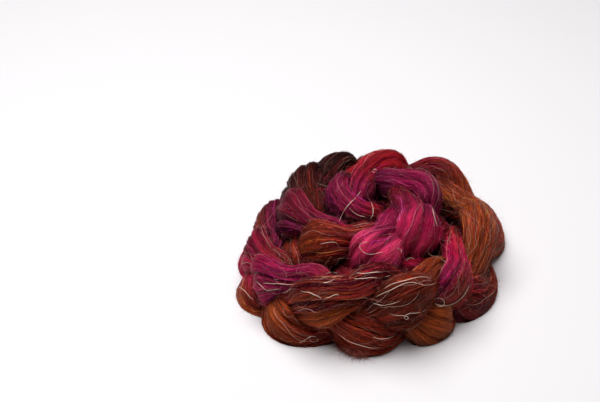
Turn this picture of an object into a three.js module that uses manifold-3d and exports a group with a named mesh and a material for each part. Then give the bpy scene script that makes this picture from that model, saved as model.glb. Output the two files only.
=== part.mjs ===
// A dyed silk and linen sliver, plaited in three strands and coiled by hand into a flat bun.
// Millimetres, +Z up. The origin lies under the middle of the coil's outline, on the surface that
// the coil rests on.
import * as THREE from "three";
import { mergeVertices } from "three/addons/utils/BufferGeometryUtils.js";
import Module from "manifold-3d";

// Path of the plait, from its outer end, tucked in between the turns at the right, round to the tail
// in the middle. A row is one place along it:
//   azimuth  degrees round the coil seen from above, 0 at the right and 90 at the back
//   radius   distance of the plait's centre line from the coil's axis
//   height   height of that centre line
//   tilt     degrees by which the plait's broad face leans back to look up
//   girth    size of the plait against its full size
//   pitch    length in which a strand swings across the plait and back
const PATH_COLUMNS = ["azimuth", "radius", "height", "tilt", "girth", "pitch"];
const PATH = [
  [2, 44.0, 8.0, 10, 0.3, 90],
  [22, 45.5, 10.0, 10, 0.52, 90],
  [60, 47.5, 10.5, 12, 0.58, 90],
  [90, 48.0, 10.0, 16, 0.6, 90],
  [120, 50.0, 10.0, 22, 0.64, 88],
  [140, 53.0, 10.5, 22, 0.82, 84],
  [180, 56.0, 9.5, 18, 0.87, 78],
  [205, 60.5, 9.0, 12, 0.92, 72],
  [230, 61.0, 12.0, 8, 0.96, 100],
  [250, 59.0, 16.0, 4, 1, 118],
  [275, 56.0, 18.0, 3, 1, 109],
  [300, 53.5, 16.0, 3, 0.98, 98],
  [318, 52.5, 13.6, 6, 0.97, 74],
  [332, 52.5, 12.8, 12, 0.98, 92],
  [345, 53.5, 13.2, 22, 1, 160],
  [370, 57.0, 14.0, 26, 1.04, 186],
  [390, 61.0, 13.4, 28, 1.1, 180],
  [405, 65.0, 12.2, 26, 1.08, 176],
  [418, 64.5, 11.4, 24, 1.02, 156],
  [430, 61.0, 11.2, 22, 0.92, 124],
  [455, 52.5, 13.8, 18, 0.92, 81],
  [480, 47.5, 17.0, 15, 1, 70],
  [510, 43.5, 19.0, 16, 1.06, 74],
  [540, 39.5, 21.0, 20, 1.1, 87],
  [600, 33.0, 21.5, 24, 1.1, 85],
  [660, 28.5, 23.5, 24, 1.1, 80],
  [720, 26.0, 27.0, 20, 1.12, 76],
  [780, 25.5, 30.5, 12, 1.08, 74],
  [820, 22.5, 31.0, 8, 1.05, 77],
  [860, 16.5, 29.5, 4, 1, 82],
  [900, 11.0, 27.5, 0, 0.97, 84],
  [940, 6.5, 24.5, 0, 0.84, 80],
  [980, 4.5, 18.0, 0, 0.5, 70],
];

// Plait of three strands: how far a strand swings across its width and through its thickness, and
// the phase of the first strand at one azimuth, which places the crossings along the coil.
const STRANDS = 3;
const HALF_SPAN = 13.5;
const HALF_DEPTH = 5.8;
const PHASE_AZIMUTH = 270;
const PHASE_DEGREES = 234;

// Section of a strand: half its width and thickness where it crosses the plait's middle, what the
// width gains where the strand lies on the face and loses again at the plait's edge, what the
// thickness gains at that edge, the exponent that squares the ellipse off, and the share of a
// strand's slope through the plait that its sections don't follow.
const HALF_WIDTH = 8.2;
const WIDTH_SWELL = 7.0;
const SWELL_SHARPNESS = 1.3;
const EDGE_DRAW_IN = 1.0;
const HALF_THICKNESS = 6.4;
const EDGE_THICKENING = 2.2;
const SQUARENESS = 2.1;
const SLOPE_HELD = 0.45;

// Pressed middle of the plait, where the strands meet: half its width and thickness.
const MIDDLE_HALF_WIDTH = 13;
const MIDDLE_HALF_THICKNESS = 7.5;

// Uneven fullness of the loose fibre along each strand: swing, wavelength and shift per strand.
const FULLNESS_WAVES = [
  { swing: 0.07, wavelength: 53, shift: 2.1 },
  { swing: 0.05, wavelength: 31, shift: 4.0 },
];

// Outline centre of the coil in the path's own axes, and the facets of the solid.
const OUTLINE_CENTRE = { x: 1.6, y: 1.6 };
const SECTION_STEP = 5.6;
const SECTION_SIDES = 12;
const END_BULGE = 4;
const STRETCHES = 8;
const PATH_SAMPLES = 2400;
const TANGENT_REACH = 0.5;
const HEADROOM = 200;

const { degToRad, lerp, clamp } = THREE.MathUtils;
const FULL_TURN = 2 * Math.PI;

// One column of the path table as a smooth function of the azimuth.
function smoothColumn(name) {
  const column = PATH_COLUMNS.indexOf(name);
  const knots = PATH.map((row) => row[0]);
  const values = PATH.map((row) => row[column]);
  const last = knots.length - 1;
  const slopes = values.map((_, i) => {
    const before = Math.max(i - 1, 0);
    const after = Math.min(i + 1, last);
    return (values[after] - values[before]) / (knots[after] - knots[before]);
  });
  return (azimuth) => {
    const next = knots.findIndex((knot) => knot > azimuth);
    const i = next < 0 ? last - 1 : Math.max(next - 1, 0);
    const span = knots[i + 1] - knots[i];
    const t = (azimuth - knots[i]) / span;
    const ease = t * t * (3 - 2 * t);
    const leave = span * slopes[i] * t * (1 - t) * (1 - t);
    const arrive = span * slopes[i + 1] * t * t * (t - 1);
    return lerp(values[i], values[i + 1], ease) + leave + arrive;
  };
}

// The path as closely spaced samples with the length and the plait turns run so far.
function samplePath() {
  const [radius, height, tilt, girth, pitch] = PATH_COLUMNS.slice(1).map(smoothColumn);
  const first = PATH[0][0];
  const last = PATH[PATH.length - 1][0];
  const samples = [];
  for (let i = 0; i <= PATH_SAMPLES; i++) {
    const azimuth = lerp(first, last, i / PATH_SAMPLES);
    const angle = degToRad(azimuth);
    const point = new THREE.Vector3(
      radius(azimuth) * Math.cos(angle),
      radius(azimuth) * Math.sin(angle),
      height(azimuth),
    );
    const before = samples[i - 1];
    const stride = before ? point.distanceTo(before.point) : 0;
    samples.push({
      azimuth,
      point,
      tilt: degToRad(tilt(azimuth)),
      girth: girth(azimuth),
      length: before ? before.length + stride : 0,
      turns: before ? before.turns + stride / pitch(azimuth) : 0,
    });
  }
  const up = new THREE.Vector3(0, 0, 1);
  samples.forEach((sample, i) => {
    const ahead = samples[Math.min(i + 1, PATH_SAMPLES)].point;
    const behind = samples[Math.max(i - 1, 0)].point;
    const along = ahead.clone().sub(behind).normalize();
    const outward = along.clone().cross(up).normalize();
    const upward = outward.clone().cross(along);
    const lean = Math.sin(sample.tilt);
    const stand = Math.cos(sample.tilt);
    sample.face = outward.clone().multiplyScalar(stand).addScaledVector(upward, lean);
    sample.edge = upward.clone().multiplyScalar(stand).addScaledVector(outward, -lean);
  });
  return samples;
}

const samples = samplePath();
const plaitLength = samples[PATH_SAMPLES].length;
const turnsAtPhase = samples.find((sample) => sample.azimuth >= PHASE_AZIMUTH).turns;

// The plait's centre, axes, girth and turns at a length along it.
function plaitAt(length) {
  let low = 0;
  let high = PATH_SAMPLES;
  while (high - low > 1) {
    const middle = (low + high) >> 1;
    if (samples[middle].length > length) high = middle;
    else low = middle;
  }
  const a = samples[low];
  const b = samples[high];
  const t = (length - a.length) / (b.length - a.length);
  return {
    point: a.point.clone().lerp(b.point, t),
    face: a.face.clone().lerp(b.face, t).normalize(),
    edge: a.edge.clone().lerp(b.edge, t).normalize(),
    girth: lerp(a.girth, b.girth, t),
    turns: lerp(a.turns, b.turns, t),
  };
}

// The centre of one strand at a length along the plait, with the plait's values there.
function strandCentre(strand, length) {
  const plait = plaitAt(length);
  const phase =
    FULL_TURN * (plait.turns - turnsAtPhase + strand / STRANDS) + degToRad(PHASE_DEGREES);
  const centre = plait.point
    .clone()
    .addScaledVector(plait.edge, HALF_SPAN * plait.girth * Math.sin(phase))
    .addScaledVector(plait.face, HALF_DEPTH * plait.girth * Math.sin(2 * phase));
  return { ...plait, phase, centre };
}

function fullness(strand, length) {
  const wave = ({ swing, wavelength, shift }) =>
    swing * Math.sin((FULL_TURN * length) / wavelength + shift * strand);
  return FULLNESS_WAVES.reduce((sum, each) => sum + wave(each), 1);
}

// A flattened section: the ring of points round it, its centre and the direction it looks in.
function flattenedSection(centre, along, thin, halfWidth, halfThickness) {
  const wide = along.clone().cross(thin);
  const squared = (value) => Math.sign(value) * Math.abs(value) ** (2 / SQUARENESS);
  const ring = Array.from({ length: SECTION_SIDES }, (_, side) => {
    const angle = (FULL_TURN * side) / SECTION_SIDES;
    return centre
      .clone()
      .addScaledVector(wide, halfWidth * squared(Math.cos(angle)))
      .addScaledVector(thin, halfThickness * squared(Math.sin(angle)));
  });
  return { ring, centre, along };
}

// One section of a strand: broad where the strand lies on a face of the plait, and deep where it
// turns back at an edge.
function strandSection(strand, length) {
  const { phase, centre, face, girth } = strandCentre(strand, length);
  const ahead = strandCentre(strand, Math.min(length + TANGENT_REACH, plaitLength)).centre;
  const behind = strandCentre(strand, Math.max(length - TANGENT_REACH, 0)).centre;
  const course = ahead.sub(behind);
  const along = course.addScaledVector(face, -SLOPE_HELD * course.dot(face)).normalize();
  const thin = face.clone().addScaledVector(along, -face.dot(along)).normalize();
  const onFace = Math.abs(Math.sin(2 * phase)) ** SWELL_SHARPNESS;
  const atEdge = Math.sin(phase) ** 2;
  const size = girth * fullness(strand, length);
  const halfWidth = size * (HALF_WIDTH + WIDTH_SWELL * onFace - EDGE_DRAW_IN * atEdge ** 2);
  const halfThickness = size * (HALF_THICKNESS + EDGE_THICKENING * atEdge);
  return flattenedSection(centre, along, thin, halfWidth, halfThickness);
}

// One section of the plait's pressed middle.
function middleSection(length) {
  const { point, face, edge, girth } = plaitAt(length);
  const along = edge.clone().cross(face);
  const halfWidth = girth * MIDDLE_HALF_WIDTH;
  const halfThickness = girth * MIDDLE_HALF_THICKNESS;
  return flattenedSection(point, along, face, halfWidth, halfThickness);
}

// A closed tube through a run of sections, with a blunt point on each end.
function tubeGeometry(sections) {
  const head = sections[0];
  const tail = sections[sections.length - 1];
  const headPoint = head.centre.clone().addScaledVector(head.along, -END_BULGE);
  const tailPoint = tail.centre.clone().addScaledVector(tail.along, END_BULGE);
  const points = [...sections.flatMap((section) => section.ring), headPoint, tailPoint];
  const headIndex = points.length - 2;
  const tailIndex = points.length - 1;
  const lastRing = (sections.length - 1) * SECTION_SIDES;
  const faces = [];
  for (let side = 0; side < SECTION_SIDES; side++) {
    const next = (side + 1) % SECTION_SIDES;
    for (let ring = 0; ring < lastRing; ring += SECTION_SIDES) {
      const ahead = ring + SECTION_SIDES;
      faces.push(ring + side, ahead + next, ring + next);
      faces.push(ring + side, ahead + side, ahead + next);
    }
    faces.push(headIndex, side, next);
    faces.push(tailIndex, lastRing + next, lastRing + side);
  }
  return new THREE.BufferGeometry().setFromPoints(points).setIndex(faces);
}

// A run of sections along the whole plait, in stretches shorter than a turn of the coil, so that no
// stretch meets itself.
function stretchGeometries(sectionAt) {
  const steps = Math.round(plaitLength / SECTION_STEP / STRETCHES) * STRETCHES;
  const sections = Array.from({ length: steps + 1 }, (_, i) =>
    sectionAt(clamp((plaitLength * i) / steps, 0, plaitLength)),
  );
  const share = steps / STRETCHES;
  return Array.from({ length: STRETCHES }, (_, i) =>
    tubeGeometry(sections.slice(i * share, (i + 1) * share + 1)),
  );
}

const wasm = await Module();
wasm.setup();

function solidOf(geometry) {
  const bare = geometry.clone();
  bare.deleteAttribute("normal");
  bare.deleteAttribute("uv");
  const merged = mergeVertices(bare);
  return new wasm.Manifold(
    new wasm.Mesh({
      numProp: 3,
      vertProperties: merged.attributes.position.array,
      triVerts: new Uint32Array(merged.index.array),
    }),
  );
}

function geometryOf(solid) {
  const { vertProperties, triVerts } = solid.getMesh();
  const geometry = new THREE.BufferGeometry();
  geometry.setAttribute("position", new THREE.BufferAttribute(vertProperties, 3));
  geometry.setIndex(new THREE.BufferAttribute(triVerts, 1));
  geometry.computeVertexNormals();
  return geometry;
}

// The strands pressed into one body, flat underneath where it lies on the surface, with no hollow
// left sealed inside it.
function coilGeometry() {
  const runs = [middleSection];
  for (let strand = 0; strand < STRANDS; strand++) {
    runs.push((length) => strandSection(strand, length));
  }
  const stretches = runs.flatMap(stretchGeometries).map(solidOf);
  const pressed = stretches.reduce((whole, stretch) => whole.add(stretch));
  const space = new THREE.BoxGeometry(HEADROOM, HEADROOM, HEADROOM);
  space.translate(0, 0, HEADROOM / 2);
  const bodies = pressed.intersect(solidOf(space)).decompose();
  const coil = bodies.reduce((best, body) => (body.volume() > best.volume() ? body : best));
  return geometryOf(coil).translate(-OUTLINE_CENTRE.x, -OUTLINE_CENTRE.y, 0);
}

const dyedFibre = new THREE.MeshStandardMaterial({
  color: 0x7c2a26,
  roughness: 0.6,
  metalness: 0,
});

const sliverCoil = new THREE.Mesh(coilGeometry(), dyedFibre);
sliverCoil.name = "sliver_coil";

const part = new THREE.Group();
part.add(sliverCoil);

export default part;
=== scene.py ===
import math

import bpy
import numpy as np
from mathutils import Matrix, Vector
from mathutils.bvhtree import BVHTree


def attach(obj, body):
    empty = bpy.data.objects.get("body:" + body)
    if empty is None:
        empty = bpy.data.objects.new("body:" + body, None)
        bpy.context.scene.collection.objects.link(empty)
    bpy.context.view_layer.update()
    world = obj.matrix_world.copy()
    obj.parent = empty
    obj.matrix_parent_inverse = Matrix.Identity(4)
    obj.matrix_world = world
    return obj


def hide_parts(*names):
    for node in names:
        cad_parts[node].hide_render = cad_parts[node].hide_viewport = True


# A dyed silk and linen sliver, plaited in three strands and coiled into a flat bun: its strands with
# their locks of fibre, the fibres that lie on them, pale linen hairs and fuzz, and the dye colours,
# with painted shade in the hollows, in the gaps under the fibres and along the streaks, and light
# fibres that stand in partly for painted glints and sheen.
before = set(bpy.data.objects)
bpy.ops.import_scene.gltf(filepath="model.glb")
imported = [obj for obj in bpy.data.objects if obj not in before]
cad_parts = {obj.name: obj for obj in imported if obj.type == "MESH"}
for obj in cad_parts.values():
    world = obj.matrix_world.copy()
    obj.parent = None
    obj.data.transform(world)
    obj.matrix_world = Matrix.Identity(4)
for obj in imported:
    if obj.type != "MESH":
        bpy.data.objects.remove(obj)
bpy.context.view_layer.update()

# Lengths of the plait are in millimetres, as in the solid, and become metres in the meshes.
MM = 0.001
FULL_TURN = 2 * math.pi
UP = np.array([0.0, 0.0, 1.0])
TINY = 1e-6

# Path of the plait, from its outer end, tucked in between the turns at the right, round to the tail
# in the middle. A row is one place along it:
#   azimuth  degrees round the coil seen from above, 0 at the right and 90 at the back
#   radius   distance of the plait's centre line from the coil's axis
#   height   height of that centre line
#   tilt     degrees by which the plait's broad face leans back to look up
#   girth    size of the plait against its full size
#   pitch    length in which a strand swings across the plait and back
PATH_COLUMNS = ["azimuth", "radius", "height", "tilt", "girth", "pitch"]
PATH = [
    [2, 44.0, 8.0, 10, 0.3, 90],
    [22, 45.5, 10.0, 10, 0.52, 90],
    [60, 47.5, 10.5, 12, 0.58, 90],
    [90, 48.0, 10.0, 16, 0.6, 90],
    [120, 50.0, 10.0, 22, 0.64, 88],
    [140, 53.0, 10.5, 22, 0.82, 84],
    [180, 56.0, 9.5, 18, 0.87, 78],
    [205, 60.5, 9.0, 12, 0.92, 72],
    [230, 61.0, 12.0, 8, 0.96, 100],
    [250, 59.0, 16.0, 4, 1, 118],
    [275, 56.0, 18.0, 3, 1, 109],
    [300, 53.5, 16.0, 3, 0.98, 98],
    [318, 52.5, 13.6, 6, 0.97, 74],
    [332, 52.5, 12.8, 12, 0.98, 92],
    [345, 53.5, 13.2, 22, 1, 160],
    [370, 57.0, 14.0, 26, 1.04, 186],
    [390, 61.0, 13.4, 28, 1.1, 180],
    [405, 65.0, 12.2, 26, 1.08, 176],
    [418, 64.5, 11.4, 24, 1.02, 156],
    [430, 61.0, 11.2, 22, 0.92, 124],
    [455, 52.5, 13.8, 18, 0.92, 81],
    [480, 47.5, 17.0, 15, 1, 70],
    [510, 43.5, 19.0, 16, 1.06, 74],
    [540, 39.5, 21.0, 20, 1.1, 87],
    [600, 33.0, 21.5, 24, 1.1, 85],
    [660, 28.5, 23.5, 24, 1.1, 80],
    [720, 26.0, 27.0, 20, 1.12, 76],
    [780, 25.5, 30.5, 12, 1.08, 74],
    [820, 22.5, 31.0, 8, 1.05, 77],
    [860, 16.5, 29.5, 4, 1, 82],
    [900, 11.0, 27.5, 0, 0.97, 84],
    [940, 6.5, 24.5, 0, 0.84, 80],
    [980, 4.5, 18.0, 0, 0.5, 70],
]
PATH_SAMPLES = 2400
OUTLINE_CENTRE = np.array([1.6, 1.6, 0.0])

# Plait of three strands: how far a strand swings across its width and through its thickness, and
# the phase of the first strand at one azimuth, which places the crossings along the coil.
STRANDS = 3
HALF_SPAN = 13.5
HALF_DEPTH = 5.8
PHASE_AZIMUTH = 270
PHASE_DEGREES = 234

# Section of a strand: half its width and thickness where it crosses the plait's middle, what the
# width gains where the strand lies on the face and loses again at the plait's edge, what the
# thickness gains at that edge, the exponent that squares the ellipse off, and the share of a
# strand's slope through the plait that its sections don't follow.
HALF_WIDTH = 8.2
WIDTH_SWELL = 7.0
SWELL_SHARPNESS = 1.3
EDGE_DRAW_IN = 1.0
HALF_THICKNESS = 6.4
EDGE_THICKENING = 2.2
SQUARENESS = 2.1
SLOPE_HELD = 0.45

# Pressed middle of the plait, where the strands meet: half its width and thickness.
MIDDLE_HALF_WIDTH = 13.0
MIDDLE_HALF_THICKNESS = 7.5

# Uneven fullness of the loose fibre along each strand: gain, wavelength and shift per strand.
FULLNESS_WAVES = [(0.07, 53, 2.1), (0.05, 31, 4.0)]

# Mesh of a strand: step along it, sides of its section, length over which its ends round off, the
# share of that length at which they stop, and clearance over the surface it lies on.
STRAND_STEP = 1.6
STRAND_SIDES = 64
END_ROUNDING = 7.0
END_SHARE = 0.002
FLOOR_CLEARANCE = 0.05

# Margin of each tube's cell of the map, as a share of the cell.
MAP_MARGIN = 0.04

# Locks of fibre in a strand, as random waves round and along it. Broad and middle locks part at
# creases along the lines where their waves cancel out, and fine ones ripple the surface.
#   counts   waves round the section, from and to
#   reach    wavelength along the plait, from and to
#   depth    depth of a crease or half height of a ripple
#   width    share of the wave's height over which a crease falls away
BROAD_LOCKS = [(2, 4), (110, 300), 2.0, 0.22]
MIDDLE_LOCKS = [(7, 12), (70, 200), 0.7, 0.35]
FINE_LOCKS = [(14, 34), (60, 180), 0.16, None]
WAVES_IN_LOCKS = 7

# Fibres on a strand. Thinness says how far thin ones outnumber thick ones, float is the height over
# the surface, lift what the middle rises and tuck what the ends dive, slant the turn round the section
# with the lock and by itself, tip the share of the radius left there, and sharpness an exponent.
FIBRES_PER_STRAND = 2400
FIBRE_POINTS = 10
FIBRE_SIDES = 3
FIBRE_HALF_LENGTH = (9.0, 26.0)
FIBRE_RADIUS = (0.04, 0.14)
FIBRE_THINNESS = 2.5
FIBRE_FLOAT = 0.05
FIBRE_LIFT = 0.35
FIBRE_TUCK = 0.5
FIBRE_SLANT = 0.25
FIBRE_OWN_SLANT = 0.2
FIBRE_TIP = 0.25
TUCK_SHARPNESS = 8
TIP_SHARPNESS = 4

# Sideways waves of the fibres, in radians, with how many fit a fibre; both grow in the loose stretches
# at the right and in the inner coil, from one azimuth to another, and fade out at their ends.
FIBRE_WAVE = (0.06, 0.16)
FIBRE_WAVES = (0.3, 1.2)
LOOSE_STRETCHES = [(340.0, 440.0), (620.0, 980.0)]
LOOSE_FADE = 15.0
LOOSE_WAVES = 1.6

# Openness of the surface, which tells where fibres can be seen: grid steps along and round a strand,
# the way that a ray has to go free, the rays round the one that goes straight out, how far they
# spread, and the height at which they start.
OPEN_STEP = 3.0
OPEN_SIDES = 24
OPEN_REACH = 22.0
OPEN_RAYS = 6
OPEN_SPREAD = 0.9
OPEN_START = 1.5

# Random places tried for each fibre or hair, and the least openness at which one is laid.
FIBRE_TRIES = 12
HAIR_TRIES = 14
FIBRE_OPENNESS = (0.0, 0.35)
HAIR_OPENNESS = 0.4
FUZZ_OPENNESS = 0.3

# Hollows, where the fibres shade each other, with that shade painted into the colours: the light left
# there, and the openness that counts as fully lit.
HOLLOW_SHADE = 0.18
HOLLOW_REACH = 0.8

# Dye and painted light: how sharply a strand's two sides meet, how far a fibre's dye strays along and
# round the strand, how its shade and its red, green and blue vary, its shade standing in partly for
# painted glints, how many fibres took little dye and how pale they are, with how much of their dye's
# tint they keep, partly as painted sheen, the painted shade of a strand in the gaps under its fibres
# and the painted light let through there where its dye is bright, and how locks and streaks mix the
# two sides and vary in shade, the locks in tone and the streaks as painted shade on the fine ripple.
SIDE_CONTRAST = 0.9
DYE_STRAY_ALONG = 7.0
DYE_STRAY_ROUND = 0.4
SHADE_SPREAD = 0.7
TINT_SPREAD = (0.08, 0.3, 0.22)
PALE_SHARE = 0.18
PALE_MIX = (0.08, 0.4)
PALE_TINT = 0.45
STRAND_SHADE = 0.42
STRAND_GLOW = 0.42
LOCK_MIX = 0.7
LOCK_SHADE = 0.25
STREAK_SHADE = 0.1
LOCK_CONTRAST = 2
STREAK_CONTRAST = 1.5

# Grain coordinates: the radius of the round that a strand's section makes in them, and the room
# between one strand and the next.
GRAIN_RADIUS = 8.0
GRAIN_ROOM = 40.0

# Linen hairs. Shade and its spread are exponents, and blush is the most dye that a hair took up, with
# how light that dye is.
LINEN_POINTS = 26
LINEN_RADIUS = (0.04, 0.11)
LINEN_THINNESS = 2.0
LINEN_FLOAT = 0.15
LINEN_TIP_SHARPNESS = 6
LINEN_SHADE = -0.35
LINEN_SHADE_SPREAD = 0.3
LINEN_BLUSH = 0.6
LINEN_BLUSH_LIGHT = 2

# Hairs that lie along a strand, with a slow and a quick sideways wander, in radians, and the waves of
# each in the longest half.
LYING_HAIRS = 150
LYING_HALF_LENGTH = (5.0, 22.0)
LYING_LIFT = 0.5
LYING_SLANT = 0.25
LYING_WANDER = (0.22, 0.07)
LYING_WAVES = [(0.3, 0.9), (1.5, 3.0)]

# Hairs and wisps of dyed fibre that stray across the strands: how many, points along each, length,
# lift, how far one slants off the strand it starts on and how fast it turns.
STRAY_HAIRS = {
    "count": 110,
    "points": LINEN_POINTS,
    "length": (7.0, 24.0),
    "lift": 0.9,
    "slant": 0.35,
    "turn": 0.09,
}
WISPS = {
    "count": 1500,
    "points": 14,
    "length": (5.0, 18.0),
    "lift": 0.5,
    "slant": 0.65,
    "turn": 0.12,
}
WISP_RADIUS = (0.04, 0.12)
WISP_THINNESS = 2.0

# How strays run: strength and waves of their slow and quick turning, the share that curl into a loop,
# with its radius, place and half length, the depth in which they look for the surface, and how far
# they lean with it at each step.
STRAY_TURNS = [(1, (0.5, 1.6)), (2, (2, 4))]
LOOP_SHARE = 0.35
LOOP_RADIUS = (1.2, 3.2)
LOOP_PLACE = (0.3, 0.8)
LOOP_HALF_LENGTH = (0.12, 0.3)
STRAY_PROBE = 9.0
STRAY_LEAN = 0.5
STRAY_SMOOTHING = 6

# Hairs that catch the eye from the front, each by the pixels of the image that it passes over. A gap
# between strands breaks a hair in two, and a part with fewer than the least points is left out.
PLACED_RADIUS = 0.18
PLACED_LIFT = 0.4
PLACED_SMOOTHING = 3
PLACED_GAP = 5.0
PLACED_LEAST = 5
PLACED_HAIRS = {
    "upper front, looped back": [
        (390, 275), (384, 278), (373, 277), (360, 280), (352, 279), (344, 276), (344, 273), (349, 271),
        (355, 273), (362, 275), (371, 273), (382, 272),
    ],
    "upper front, left of it": [(325, 274), (332, 272), (338, 273)],
    "inner front loop": [
        (368, 242), (361, 243), (359, 246), (362, 251), (366, 254), (373, 254), (384, 252),
    ],
    "inner front curl": [(397, 248), (401, 251), (401, 254)],
    "middle front": [
        (376, 297), (383, 293), (390, 290), (397, 287), (400, 284), (407, 282), (413, 282), (418, 284),
        (426, 286), (432, 286), (437, 282),
    ],
    "middle front, upper": [
        (384, 289), (388, 286), (395, 283), (407, 281), (418, 278), (426, 277), (436, 280),
    ],
    "middle front, lower": [(373, 303), (382, 305), (391, 304), (400, 301)],
    "middle front, top": [(406, 261), (410, 258), (414, 259)],
    "right front circle": [
        (433, 301), (436, 298), (440, 297), (445, 300), (444, 305), (440, 307), (436, 305), (433, 301),
    ],
    "right front edge": [(434, 304), (445, 306), (454, 303), (461, 298), (466, 292), (469, 285)],
    "left front, under the lobe": [
        (256, 281), (261, 285), (264, 288), (268, 291), (273, 289), (279, 288), (285, 290),
    ],
    "left front, sagging": [(271, 293), (279, 294), (285, 292), (291, 289), (297, 288)],
    "left front, straight": [(263, 283), (273, 283), (284, 284), (293, 285), (299, 283)],
    "left front, upper": [(262, 274), (268, 276), (274, 279), (279, 279)],
    "second lobe, left end": [(301, 291), (307, 292), (314, 294), (319, 296), (323, 300)],
    "second lobe, clump": [(325, 298), (330, 297), (333, 295), (338, 294), (339, 296)],
    "second lobe, dip": [(323, 283), (328, 283), (331, 281), (335, 279)],
    "left edge": [(236, 286), (240, 287), (244, 290), (249, 296), (254, 300)],
    "lower left loop": [
        (298, 343), (304, 341), (308, 337), (312, 335), (317, 336), (319, 339), (316, 342), (311, 342),
        (308, 339), (311, 335),
    ],
    "lower front edge": [(336, 332), (343, 337), (351, 342), (361, 345), (371, 348), (382, 347)],
    "lower front, inner": [(373, 337), (380, 339), (388, 339), (396, 336), (397, 334)],
    "lower right curl": [
        (426, 310), (419, 313), (411, 312), (405, 313), (402, 317), (405, 321), (410, 320), (410, 316),
        (404, 314), (396, 316), (389, 313),
    ],
    "centre, long": [(361, 191), (356, 198), (351, 202), (346, 208), (342, 215), (339, 222)],
    "centre, short": [(349, 208), (353, 212), (359, 215), (367, 217)],
    "centre, bowed": [(368, 198), (371, 202), (373, 208), (373, 215), (370, 219)],
    "back curl": [(371, 171), (374, 173), (377, 171), (375, 169), (372, 171)],
    "left inner bow": [(320, 244), (330, 242), (336, 242), (339, 246)],
    "right inner": [(432, 208), (433, 216), (437, 227)],
}

# Frayed ends that stick out under the front, from between two corners in the image. Thinning is the
# share of the radius lost to the tip, and pale how much of the dye they lack.
FRAY_HAIRS = 300
FRAY_POINTS = 12
FRAY_CORNERS = ((332, 346), (365, 358))
FRAY_LENGTH = (2.5, 9.0)
FRAY_RADIUS = (0.04, 0.1)
FRAY_SPREAD = 0.7
FRAY_CURL = 0.35
FRAY_SMOOTHING = 2
FRAY_THINNING = 0.6
FRAY_PALE = 0.2

# Fuzz, short fine hairs that rise off the surface, stray from the strand's course, bend and sag.
FUZZ_HAIRS = 7000
FUZZ_POINTS = 5
FUZZ_LENGTH = (1.2, 4.8)
FUZZ_RADIUS = (0.03, 0.06)
FUZZ_RISE = (0.1, 0.6)
FUZZ_STRAY = 0.5
FUZZ_BEND = 0.5
FUZZ_SAG = 0.25
FUZZ_THINNING = 0.7
FUZZ_PALE = 0.4

SEED = 20

# Fibre materials: what they share, the range of a noise value that counts, and how far the streaks
# and the ridges of the grain are drawn out, with their scale and detail.
SHARED_FINISH = {
    "Metallic": 0.25,
    "Specular IOR Level": 0.08,
    "Sheen Roughness": 0.35,
    "Sheen Tint": (1.0, 0.75, 0.75, 1),
}
NOISE_RANGE = (0.3, 0.7)
STREAK_GRAIN = (14, 3.0, 4)
RIDGE_GRAIN = (18, 3.5, 3)

# Each material's own values: shade and roughness of its darkest and lightest streaks, its sheen, and
# the height of its ridges in metres.
STRAND_FINISH = {"streaks": (0.65, 1.3), "roughness": (0.6, 0.45), "sheen": 0.02, "ridges": 0.0005}
FIBRE_FINISH = {"streaks": (0.7, 1.3), "roughness": (0.5, 0.36), "sheen": 0.02, "ridges": None}
HAIR_FINISH = {"streaks": (0.7, 1.2), "roughness": (0.6, 0.45), "sheen": 0.03, "ridges": None}

# Stage, in metres and watts: the floor, the soft light above it and the light of the room.
FLOOR_HALF = 3.0
FLOOR_COLOUR = (0.83, 0.81, 0.825, 1)
FLOOR_ROUGHNESS = 0.6
LIGHT_PLACE = Vector((-0.16, 0.08, 0.9))
LIGHT_AIM = Vector((0, 0, 0.02))
LIGHT_SIZE = 0.8
LIGHT_POWER = 11.8
ROOM_COLOUR = (1, 0.985, 0.99, 1)
ROOM_STRENGTH = 0.12

# Camera: the coil's middle and the pixel it falls on in an image of this size, with the distance,
# the angle above the horizon, the lens and its length in pixels.
IMAGE_SIZE = (600, 402)
COIL_MIDDLE = Vector((-0.0016, -0.0016, 0.018))
COIL_PIXEL = (371, 241)
VIEW_DISTANCE = 0.640
VIEW_ELEVATION = math.radians(39)
LENS = 72
SENSOR = 36
LENS_PIXELS = LENS / SENSOR * IMAGE_SIZE[0]


# Helpers for arrays of numbers

def dot(a, b):
    return np.sum(a * b, axis=-1, keepdims=True)


def unit(vectors):
    return vectors / np.maximum(np.linalg.norm(vectors, axis=-1, keepdims=True), TINY)


def between(rng, limits, size):
    return rng.uniform(limits[0], limits[1], size)


def mostly_thin(rng, limits, thinness, count):
    """Radii between two limits, with more of them near the lower one."""
    return limits[0] + (limits[1] - limits[0]) * rng.random((count, 1)) ** thinness


def signed_power(values, exponent):
    return np.sign(values) * np.abs(values) ** exponent


def ease(t):
    t = np.clip(t, 0.0, 1.0)
    return t * t * (3 - 2 * t)


def blended(wanted, places, rows):
    """Rows of values, one for each place, blended at the wanted places between them."""
    return np.stack([np.interp(wanted, places, column) for column in np.array(rows).T], axis=-1)


def smoothed(paths, passes):
    """Paths with each inner point drawn half way to the middle of its neighbours, a few times over."""
    result = paths.copy()
    for _ in range(passes):
        middle = (result[:, :-2] + result[:, 2:]) / 2
        result[:, 1:-1] = (result[:, 1:-1] + middle) / 2
    return result


# The plait and its strands

def smooth_column(name, azimuth):
    """One column of the path table as a smooth function of the azimuth."""
    column = PATH_COLUMNS.index(name)
    knots = np.array([row[0] for row in PATH], float)
    values = np.array([row[column] for row in PATH], float)
    last = len(knots) - 1
    before = np.maximum(np.arange(last + 1) - 1, 0)
    after = np.minimum(np.arange(last + 1) + 1, last)
    slopes = (values[after] - values[before]) / (knots[after] - knots[before])
    i = np.clip(np.searchsorted(knots, azimuth, side="right") - 1, 0, last - 1)
    span = knots[i + 1] - knots[i]
    t = (azimuth - knots[i]) / span
    leave = span * slopes[i] * t * (1 - t) ** 2
    arrive = span * slopes[i + 1] * t * t * (t - 1)
    return values[i] + (values[i + 1] - values[i]) * ease(t) + leave + arrive


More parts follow.
